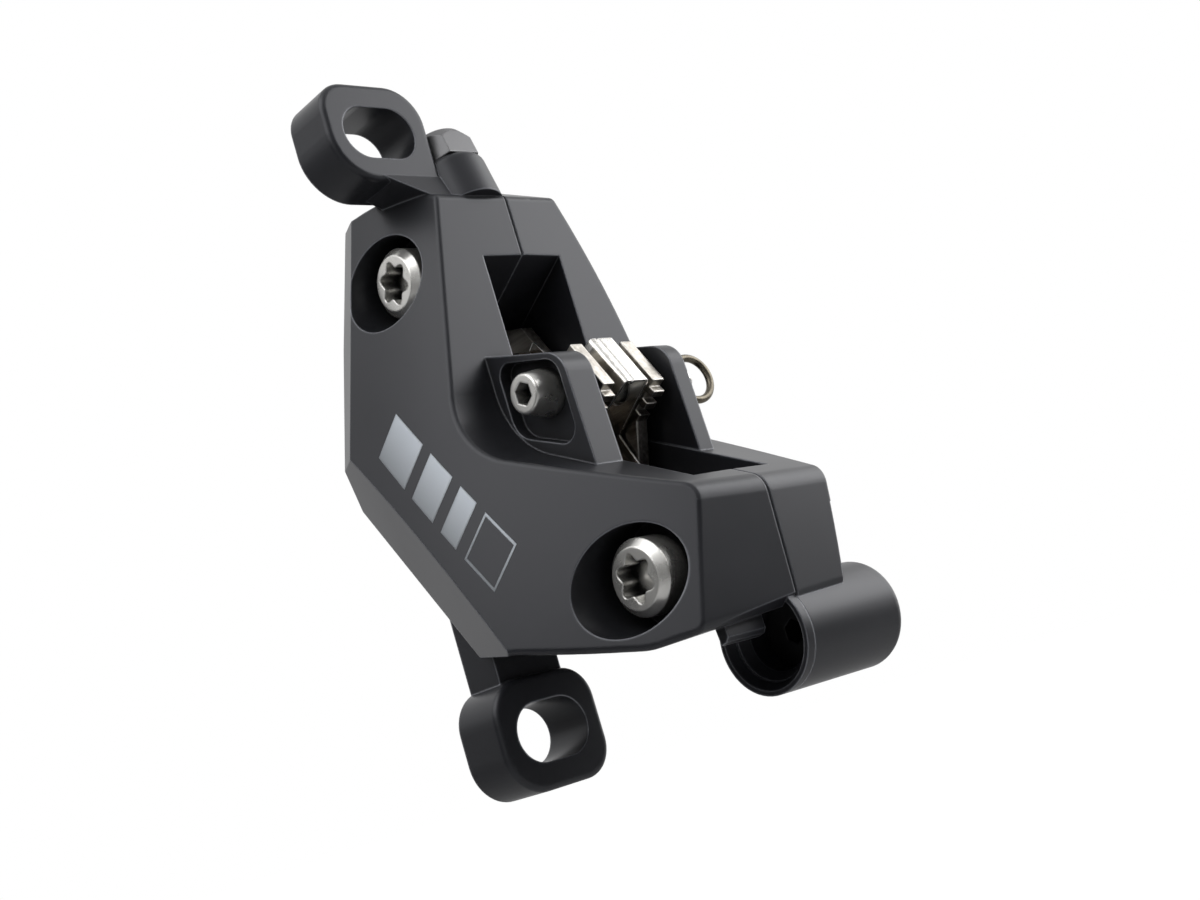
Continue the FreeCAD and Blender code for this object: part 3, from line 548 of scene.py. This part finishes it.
FINISHES = {
    # The body's light edge colour and strong edge mask are partly wear and partly a painted highlight
    Slot.BODY: Finish(
        "black_anodised", (0.022, 0.023, 0.028), (0.028, 0.029, 0.035), (0.30, 0.31, 0.345), 0.3, 0.36,
        spread=0.05, edge_radius=0.35 * MM, wear_and_highlight=8.0, bump=0.12,
        # Painted shade that darkens the body's hollows
        crevice=PaintedCreviceShade(reach=3.0 * MM, low=0.35, high=0.8, floor=0.15),
    ),
    Slot.BOLT: Finish(
        "nickel_plated", (0.76, 0.75, 0.72), (0.87, 0.86, 0.83), (0.92, 0.91, 0.89), 0.85, 0.28,
        spread=0.06, broad=300.0, wear_and_highlight=3.0, bump=0.05,
        # Painted shade that makes the bolts' sockets nearly black
        crevice=PaintedCreviceShade(reach=1.9 * MM, low=0.52, high=0.82, floor=0.03),
    ),
    Slot.PLATE: Finish(
        "pressed_steel", (0.42, 0.39, 0.35), (0.68, 0.65, 0.60), (0.86, 0.84, 0.8), 1.0, 0.32,
        wear_and_highlight=6.0, bump=0.2, streaks=True,
    ),
    Slot.LINING: Finish(
        "sintered_lining", (0.05, 0.04, 0.03), (0.19, 0.15, 0.11), (0.30, 0.25, 0.2), 0.35, 0.7,
        wear_and_highlight=1.0, fine=3500.0, broad=2600.0, bump=0.8, bump_height=0.05 * MM,
    ),
    Slot.SPRING: Finish(
        "bright_spring_steel", (0.62, 0.6, 0.57), (0.84, 0.83, 0.80), (0.93, 0.92, 0.9), 1.0, 0.2,
        wear_and_highlight=5.0, bump=0.08, streaks=True,
    ),
    Slot.RING: Finish(
        "oiled_wire", (0.10, 0.088, 0.07), (0.21, 0.19, 0.15), (0.36, 0.33, 0.28), 1.0, 0.34,
        broad=800.0, wear_and_highlight=1.0, bump=0.15,
    ),
    Slot.FITTING: Finish(
        "grey_anodised", (0.15, 0.15, 0.155), (0.19, 0.19, 0.195), (0.4, 0.4, 0.41), 0.8, 0.4,
        wear_and_highlight=2.0,
    ),
    Slot.SCREW: Finish(
        "black_oxide", (0.018, 0.018, 0.019), (0.03, 0.03, 0.032), (0.1, 0.1, 0.1), 0.7, 0.4,
        wear_and_highlight=1.5,
    ),
    Slot.SEAL: Finish(
        "seal_rubber", (0.012, 0.012, 0.012), (0.02, 0.02, 0.02), (0.03, 0.03, 0.03), 0.0, 0.65,
        wear_and_highlight=0.5, bump=0.3,
    ),
    Slot.PISTON: Finish(
        "moulded_phenolic", (0.045, 0.032, 0.022), (0.08, 0.06, 0.042), (0.13, 0.1, 0.075), 0.0, 0.5,
        fine=2500.0, broad=900.0, wear_and_highlight=1.0, bump=0.3,
    ),
}


INK = Finish(
    "silver_print", (0.60, 0.65, 0.71), (0.68, 0.73, 0.79), (0.7, 0.7, 0.7), 0.15, 0.4,
    wear_and_highlight=0.0, bump=0.05,
)


class FinishShelf:
    """Makes each finish once and hands it to the pieces."""

    def __init__(self) -> None:
        """Builds the shared groups."""
        self.groups = Groups()
        self.made: dict[Slot, bpy.types.Material] = {}

    def get(self, slot: Slot) -> bpy.types.Material:
        """The material of a slot.

        Args:
            slot: The record's slot.

        Returns:
            The material, made on first use.
        """
        if slot not in self.made:
            self.made[slot] = FINISHES[slot].make(self.groups)
        return self.made[slot]

    def print_ink(self) -> bpy.types.Material:
        """The silver print, which is brightest at the upper edge of its row.

        The tint is the distance of a point from the row's lower line, over the row's height.

        Returns:
            The material.
        """
        material = INK.make(self.groups)
        bench = NodeBench(material.node_tree)
        colour = bench.surface().inputs["Base Color"]
        along = Vector((PRINT_END[0] - PRINT_START[0], PRINT_END[1] - PRINT_START[1])).normalized()
        across = Vector((0.0, along.y, -along.x))
        low = across.dot(Vector((0.0, *PRINT_START))) * MM
        height = bench.dot(bench.place(), across)
        ends = (low, low + PRINT_HEIGHT * MM)
        tint = bench.map_range(height, ends, (PRINT_SHADE, 1.0), smooth=False)
        bench.feed(colour, bench.mix_colours(1.0, colour.links[0].from_socket, tint, "MULTIPLY"))
        return material


# Mesh helpers


def grid_faces(rows: int, columns: int, closed: bool = False) -> np.ndarray:
    """Quads of a grid of points, numbered row by row.

    Args:
        rows: Points down.
        columns: Points across.
        closed: Joins the last row to the first and the last column to the first.

    Returns:
        The quads as an array of four point numbers each.
    """
    down = np.arange(rows if closed else rows - 1)
    across = np.arange(columns if closed else columns - 1)
    i, j = np.meshgrid(down, across, indexing="ij")
    i, j = i.ravel(), j.ravel()
    below, right = (i + 1) % rows, (j + 1) % columns
    return np.stack([i * columns + j, i * columns + right, below * columns + right, below * columns + j], 1)


def make_object(name: str, points: np.ndarray, faces: list, smooth: bool = True) -> bpy.types.Object:
    """Makes an object at the origin from points and faces.

    Args:
        name: The object's name.
        points: The points, in metres.
        faces: The faces, as lists of point numbers.
        smooth: Shades the faces smooth, with sharp edges kept by angle.

    Returns:
        The object, linked to the scene.
    """
    mesh = bpy.data.meshes.new(name)
    mesh.from_pydata(points.tolist(), [], faces)
    mesh.update()
    made = bpy.data.objects.new(name, mesh)
    bpy.context.scene.collection.objects.link(made)
    if smooth:
        smooth_by_angle(made)
    return made


def smooth_by_angle(made: bpy.types.Object) -> None:
    """Shades a mesh smooth and keeps the edges sharp where faces meet at a sharp angle.

    Args:
        made: The object.
    """
    made.data.shade_smooth()
    made.data.set_sharp_from_angle(angle=SHARP_ANGLE)


def merge_points(made: bpy.types.Object) -> None:
    """Merges points that lie on each other.

    Args:
        made: The object.
    """
    shell = bmesh.new()
    shell.from_mesh(made.data)
    bmesh.ops.remove_doubles(shell, verts=shell.verts, dist=MERGE_DISTANCE)
    shell.to_mesh(made.data)
    shell.free()


def settle_modifiers(made: bpy.types.Object) -> None:
    """Puts the result of an object's modifiers into its mesh.

    Args:
        made: The object.
    """
    result = bpy.data.meshes.new_from_object(made.evaluated_get(bpy.context.evaluated_depsgraph_get()))
    made.modifiers.clear()
    made.data = result


def turn_outwards(made: bpy.types.Object) -> None:
    """Turns every face of a closed shell outwards.

    Args:
        made: The object.
    """
    shell = bmesh.new()
    shell.from_mesh(made.data)
    bmesh.ops.recalc_face_normals(shell, faces=shell.faces)
    shell.to_mesh(made.data)
    shell.free()


def in_pad_frame(x: np.ndarray, u: np.ndarray, r: np.ndarray) -> np.ndarray:
    """Points from x across, u along the pads and r towards the rotor's centre, all in metres.

    Args:
        x: Places across the seam.
        u: Places along the pads.
        r: Places towards the rotor's centre.

    Returns:
        The points, one row each.
    """
    x, u, r = np.broadcast_arrays(x, u, r)
    return PAD_BOLT + x[..., None] * ACROSS_SEAM + u[..., None] * ALONG_PAD + r[..., None] * INTO_ROTOR


# The frame's own nodes


@dataclass
class DressedFrame:
    """The CAD nodes with their finishes."""

    shelf: FinishShelf

    def build(self) -> None:
        """Gives each CAD node the material of its slot in the record."""
        for subpart in frame["record"]["subparts"]:
            node = frame["nodes"][subpart["node"]]
            material = self.shelf.get(Slot(subpart["material_slot"]))
            node.data.materials.clear()
            node.data.materials.append(material)
            log.info("dressed %s in %s", subpart["node"], material.name)


# New pieces


@dataclass
class PadSpring:
    """The folded sheet spring between the pads: a grooved bridge, two legs and an arm to each end of a pad.

    Its section runs across the seam in x and towards the rotor in r. Half of its length along the pads grows
    from the bridge to the arms, and the pad bolt passes through a round hole in each leg.
    """

    thickness: float = 0.3 * MM
    top_r: float = -4.35 * MM
    half_width: float = 1.85 * MM
    foot_half_width: float = 3.0 * MM
    fold_round: float = 0.35 * MM
    groove_x: float = -0.8 * MM
    groove_depth: float = 0.42 * MM
    groove_half: float = 0.3 * MM
    leg_end_r: float = 4.6 * MM
    arm_end_r: float = 7.2 * MM
    half_length: float = 3.8 * MM
    arm_half_length: float = 15.0 * MM
    hole_radius: float = 2.3 * MM
    groove_share: float = 0.5
    growth_share: float = 0.45
    steps_along: int = 220
    steps_across: int = 14

    def section(self) -> tuple[np.ndarray, np.ndarray]:
        """The section's middle line, from one leg's foot over the bridge to the other's.

        x runs across the bridge, round the fold as a quarter circle and down the leg as a straight slope.
        The groove is a smooth dip, one half of one plus the cosine of the distance from its middle, on the
        bridge and the groove share of the fold.

        Returns:
            The line's x from the seam and its r, both in metres.
        """
        t = np.linspace(0.0, 1.0, self.steps_along)
        bend = self.fold_round
        flat = self.half_width - bend
        arc = bend * math.pi / 2
        drop = self.arm_end_r - self.top_r - bend
        slope = (self.foot_half_width - self.half_width) / drop
        run = t * (flat + arc + drop)
        on_arc = np.clip(run - flat, 0.0, arc) / bend
        down = np.clip(run - flat - arc, 0.0, None)
        x = np.minimum(run, flat) + bend * np.sin(on_arc) + slope * down
        r = self.top_r + bend * (1.0 - np.cos(on_arc)) + down
        x = np.concatenate([-x[:0:-1], x])
        r = np.concatenate([r[:0:-1], r])
        near = np.clip(np.abs(x - self.groove_x) / self.groove_half, 0.0, 1.0)
        on_bridge = r < self.top_r + self.groove_share * bend
        dip = self.groove_depth * 0.5 * (1.0 + np.cos(math.pi * near))
        return x, r + np.where(on_bridge, dip, 0.0)

    def outline(self, r: np.ndarray) -> tuple[np.ndarray, np.ndarray]:
        """The sheet's inner and outer edge along the pads at each r.

        The inner edge is the hole's half chord. The outer edge eases from the bridge's to the arm's length
        by a smooth step, over the growth share of the way from the leg's end to the arm's.

        Args:
            r: Places towards the rotor.

        Returns:
            The inner and the outer edge's distance from the middle, in metres.
        """
        inner = np.sqrt(np.clip(self.hole_radius**2 - r**2, 0.0, None))
        reach = self.growth_share * (self.arm_end_r - self.leg_end_r)
        grow = np.clip((r - self.leg_end_r) / reach, 0.0, 1.0)
        ease = grow * grow * (3.0 - 2.0 * grow)
        outer = self.half_length + ease * (self.arm_half_length - self.half_length)
        return inner, outer

    def build(self, shelf: FinishShelf) -> bpy.types.Object:
        """Builds the spring as one closed sheet and puts it in the frame node's place.

        Args:
            shelf: The finishes.

        Returns:
            The spring.
        """
        x, r = self.section()
        inner, outer = self.outline(r)
        v = np.linspace(0.0, 1.0, self.steps_across)
        u = inner[:, None] + (outer - inner)[:, None] * v[None, :]
        rows, columns = u.shape
        quads = grid_faces(rows, columns)
        halves = [in_pad_frame(SEAM_X + x[:, None], side, r[:, None]).reshape(-1, 3) for side in (u, -u)]
        faces = np.concatenate([quads, quads[:, ::-1] + rows * columns])
        spring = make_object("folded_spring", np.concatenate(halves), faces.tolist())
        merge_points(spring)
        solidify = spring.modifiers.new("sheet", "SOLIDIFY")
        solidify.thickness = self.thickness
        solidify.offset = 0.0
        solidify.use_even_offset = True
        settle_modifiers(spring)
        merge_points(spring)
        turn_outwards(spring)
        smooth_by_angle(spring)
        spring.data.materials.append(shelf.get(Slot.SPRING))
        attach(spring, Body.CALIPER.value)
        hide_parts("pad_spring")
        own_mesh(spring)
        return spring


@dataclass
class BoltThread:
    """The thread of the pad bolt where it leaves the inboard lug: a ridge that winds round the shank."""

    start_x: float = 24.05 * MM
    end_x: float = 25.95 * MM
    root_radius: float = 1.94 * MM
    crest: float = 0.1 * MM
    sleeve_depth: float = 0.3 * MM
    run_out: float = 0.125
    pitch: float = 0.5 * MM
    steps_round: int = 72
    steps_along: int = 64

    def build(self, shelf: FinishShelf) -> bpy.types.Object:
        """Builds the ridge as a closed sleeve: the radius is the root's plus a crest by its phase.

        The phase turns with x over the pitch and with the angle, and the crest fades along the run-out at
        each end.

        Args:
            shelf: The finishes.

        Returns:
            The thread.
        """
        angle = np.linspace(0.0, 2 * math.pi, self.steps_round, endpoint=False)
        along = np.linspace(0.0, 1.0, self.steps_along)
        x = self.start_x + (self.end_x - self.start_x) * along[:, None]
        phase = 2 * math.pi * x / self.pitch - angle[None, :]
        fade = np.clip(np.minimum(along, 1.0 - along) / self.run_out, 0.0, 1.0)[:, None]
        radius = self.root_radius + self.crest * fade * (0.5 + 0.5 * np.cos(phase))
        inner = np.full((1, self.steps_round), self.root_radius - self.sleeve_depth)
        radius = np.concatenate([inner, radius, inner])
        x = np.concatenate([x[:1], x, x[-1:]])
        points = in_pad_frame(x, radius * np.sin(angle), radius * np.cos(angle)).reshape(-1, 3)
        faces = grid_faces(len(x), self.steps_round, closed=True)
        thread = make_object("pad_bolt_thread", points, faces.tolist())
        turn_outwards(thread)
        smooth_by_angle(thread)
        thread.data.materials.append(shelf.get(Slot.BOLT))
        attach(thread, Body.CALIPER.value)
        return thread


@dataclass
class PrintBars:
    """Plain slanted bars printed in a row along the lower edge of the outboard face, one in outline.

    A bar is a patch of the face between two slanted sides. The face is x as a base plus a rise with z, a
    tilt with y from the ears' front face and a bow with the square of it, and the patch lies a hair proud
    of that. The lengths are in millimetres.
    """

    base: float = -3.6
    rise: float = 0.25
    tilt: float = -0.33
    bow: float = 0.006
    ear_front_y: float = -7.0
    proud: float = 0.015
    row_start: Span = PRINT_START
    row_end: Span = PRINT_END
    height: float = PRINT_HEIGHT
    slant: float = -0.35
    filled_widths: tuple[float, ...] = (6.2, 4.6, 3.2)
    outlined_width: float = 5.8
    gap: float = 1.7
    line: float = 0.28
    steps: int = 16

    def face_x(self, y: np.ndarray, z: np.ndarray) -> np.ndarray:
        """X of the outboard face over points of the side view, in millimetres.

        Args:
            y: Places along Y.
            z: Places along Z.

        Returns:
            The face's X.
        """
        from_ear = y - self.ear_front_y
        return self.base + self.rise * z + self.tilt * from_ear + self.bow * from_ear**2

    def patch(self, run: Span, rise: Span) -> np.ndarray:
        """Points of a closed thin patch, its lower skin just under the face and its upper one proud of it.

        A place is the row's start plus a run along the row and a rise square to it, and a rise also shifts
        the run by the slant.

        Args:
            run: The patch's first and last run at no rise.
            rise: Its first and last rise.

        Returns:
            The points of both skins, as rows.
        """
        start = np.array(self.row_start)
        along = np.array(self.row_end) - start
        along = along / np.linalg.norm(along)
        across = np.array([along[1], -along[0]])
        a, b = np.meshgrid(np.linspace(*run, self.steps), np.linspace(*rise, self.steps), indexing="ij")
        a = a + self.slant * b
        y = start[0] + along[0] * a + across[0] * b
        z = start[1] + along[1] * a + across[1] * b
        x = self.face_x(y, z)
        skins = [np.stack([x + shift, y, z], -1).reshape(-1, 3) for shift in (-self.proud, self.proud)]
        return np.concatenate(skins) * MM

    def patch_faces(self, offset: int) -> np.ndarray:
        """Quads of both skins and the rim between them.

        Args:
            offset: The number of the patch's first point.

        Returns:
            The quads.
        """
        n = self.steps
        top = grid_faces(n, n)
        index = np.arange(n * n).reshape(n, n)
        rim = np.concatenate([index[0, :-1], index[:-1, -1], index[-1, :0:-1], index[:0:-1, 0]])
        ahead = np.roll(rim, -1)
        side = np.stack([rim, ahead, ahead + n * n, rim + n * n], 1)
        return np.concatenate([top, top[:, ::-1] + n * n, side]) + offset

    def patches(self) -> list[tuple[Span, Span]]:
        """The run and rise of each patch: one for a filled bar, four lines for the outlined one.

        Returns:
            The patches.
        """
        made = []
        run = 0.0
        for width in self.filled_widths:
            made.append(((run, run + width), (0.0, self.height)))
            run += width + self.gap
        end = run + self.outlined_width
        inside = (self.line, self.height - self.line)
        made.append(((run, run + self.line), inside))
        made.append(((end - self.line, end), inside))
        made.append(((run, end), (0.0, self.line)))
        made.append(((run, end), (self.height - self.line, self.height)))
        return made

    def build(self, shelf: FinishShelf) -> bpy.types.Object:
        """Builds the bars as one piece.

        Args:
            shelf: The finishes.

        Returns:
            The printed bars.
        """
        points, faces, offset = [], [], 0
        for run, rise in self.patches():
            points.append(self.patch(run, rise))
            faces.append(self.patch_faces(offset))
            offset += len(points[-1])
        quads = np.concatenate(faces).tolist()
        made = make_object("printed_bars", np.concatenate(points), quads, smooth=False)
        turn_outwards(made)
        made.data.materials.append(shelf.print_ink())
        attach(made, Body.CALIPER.value)
        return made


# Stage


@dataclass(frozen=True)
class Softbox:
    """One square area lamp: where it stands, how wide it is and its power."""

    name: str
    place: Triple
    size: float
    power: float


@dataclass
class Studio:
    """Pale floor and backdrop, soft lamps and the camera."""

    floor_z: float = -0.12
    floor_size: float = 8.0
    floor_colour: tuple[float, ...] = (0.9, 0.9, 0.9, 1.0)
    floor_roughness: float = 0.9
    focal_mm: float = 47.856
    sensor_mm: float = 36.0
    clip_start: float = 0.005
    camera_place: Triple = (-0.119657, -0.145349, -0.040435)
    forward: Triple = (0.7002, 0.6923, 0.1744)
    up: Triple = (0.08745, -0.32557, 0.94146)
    aim: Triple = (0.012, -0.01, 0.01)
    backdrop_edge: Span = (0.0, 0.6)
    backdrop_reach: float = 0.5
    ceiling_edge: Span = (0.1, 0.8)
    ceiling_level: float = 0.8
    room_level: float = 0.06
    fill_level: float = 0.05
    glow_reach: Span = (0.12, 0.5)
    glow_levels: Span = (0.5, 0.97)
    softboxes: tuple[Softbox, ...] = (
        Softbox("near_left", (-0.144, -0.026, 0.150), 0.20, 0.23),
        Softbox("near_right", (0.154, -0.156, 0.087), 0.16, 0.22),
        Softbox("far_right", (0.424, -0.177, 0.163), 0.40, 0.65),
        Softbox("back_left", (-0.326, 0.269, 0.239), 0.34, 0.15),
        Softbox("low_left", (-0.400, -0.240, 0.060), 0.30, 0.10),
    )

    def build(self) -> None:
        """Builds the whole stage."""
        self.build_floor()
        self.build_world()
        for softbox in self.softboxes:
            self.build_softbox(softbox)
        self.build_camera()

    def build_floor(self) -> None:
        """A flat square under the caliper whose glow fades near the caliper, so that its shadow stays."""
        half = self.floor_size / 2
        corners = ((-half, -half), (half, -half), (half, half), (-half, half))
        points = np.array([(x, y, self.floor_z) for x, y in corners])
        floor = make_object("floor", points, [[0, 1, 2, 3]], smooth=False)
        material = bpy.data.materials.new("pale_floor")
        material.use_nodes = True
        bench = NodeBench(material.node_tree)
        inputs = bench.surface().inputs
        bench.feed(inputs["Base Color"], self.floor_colour)
        bench.feed(inputs["Roughness"], self.floor_roughness)
        bench.feed(inputs["Specular IOR Level"], 0.0)
        bench.feed(inputs["Emission Color"], WHITE)
        place = bench.place()
        behind = bench.map_range(bench.dot(place, self.forward), (0.0, self.backdrop_reach), (0.0, 1.0))
        distance = bench.node("ShaderNodeVectorMath", operation="LENGTH")
        bench.feed(distance.inputs[0], place)
        level = bench.map_range(distance.outputs["Value"], self.glow_reach, self.glow_levels)
        camera, sharp = bench.rays()
        seen = bench.maths("MAXIMUM", camera, bench.maths("MULTIPLY", sharp, behind))
        bench.feed(inputs["Emission Strength"], bench.maths("MULTIPLY", seen, level))
        floor.data.materials.append(material)

    def build_world(self) -> None:
        """A world that is white to the camera, with a backdrop and a ceiling in reflections and a fill."""
        world = bpy.data.worlds.new("studio")
        bpy.context.scene.world = world
        world.use_nodes = True
        bench = NodeBench(world.node_tree)
        towards = bench.node("ShaderNodeTexCoord").outputs["Generated"]
        ahead = bench.dot(towards, self.forward)
        backdrop = bench.map_range(ahead, self.backdrop_edge, (self.room_level, 1.0))
        above = bench.node("ShaderNodeSeparateXYZ")
        bench.feed(above.inputs[0], towards)
        ceiling = bench.map_range(above.outputs["Z"], self.ceiling_edge, (0.0, self.ceiling_level))
        camera, sharp = bench.rays()
        mirrored = bench.mix(sharp, self.fill_level, bench.maths("MAXIMUM", backdrop, ceiling))
        background = world.node_tree.nodes["Background"]
        bench.feed(background.inputs["Color"], WHITE)
        bench.feed(background.inputs["Strength"], bench.mix(camera, mirrored, 1.0))

    def build_softbox(self, softbox: Softbox) -> None:
        """Adds one square area lamp that looks at the caliper.

        Args:
            softbox: The lamp's place, size and power.
        """
        data = bpy.data.lights.new(softbox.name, "AREA")
        data.size = softbox.size
        data.energy = softbox.power
        made = bpy.data.objects.new(softbox.name, data)
        made.location = softbox.place
        made.rotation_mode = "QUATERNION"
        made.rotation_quaternion = (Vector(self.aim) - Vector(softbox.place)).to_track_quat("-Z", "Y")
        bpy.context.scene.collection.objects.link(made)

    def build_camera(self) -> None:
        """The camera that was solved from the photograph."""
        data = bpy.data.cameras.new("camera")
        data.lens = self.focal_mm
        data.sensor_width = self.sensor_mm
        data.clip_start = self.clip_start
        camera = bpy.data.objects.new("camera", data)
        forward = Vector(self.forward).normalized()
        right = forward.cross(Vector(self.up)).normalized()
        up = right.cross(forward)
        turn = Matrix((right, up, -forward)).transposed().to_4x4()
        camera.matrix_world = Matrix.Translation(Vector(self.camera_place)) @ turn
        bpy.context.scene.collection.objects.link(camera)
        bpy.context.scene.camera = camera


def main() -> None:
    """Builds the stage and the dressed caliper, and reports each piece."""
    logging.basicConfig(level=logging.INFO, format="%(name)s: %(message)s")
    bpy.context.scene.view_settings.view_transform = "Standard"
    Studio().build()
    shelf = FinishShelf()
    DressedFrame(shelf).build()
    for builder in (PadSpring(), BoltThread(), PrintBars()):
        piece = builder.build(shelf)
        log.info("built %s, %d faces", piece.name, len(piece.data.polygons))


if __name__ == "__main__":
    main()
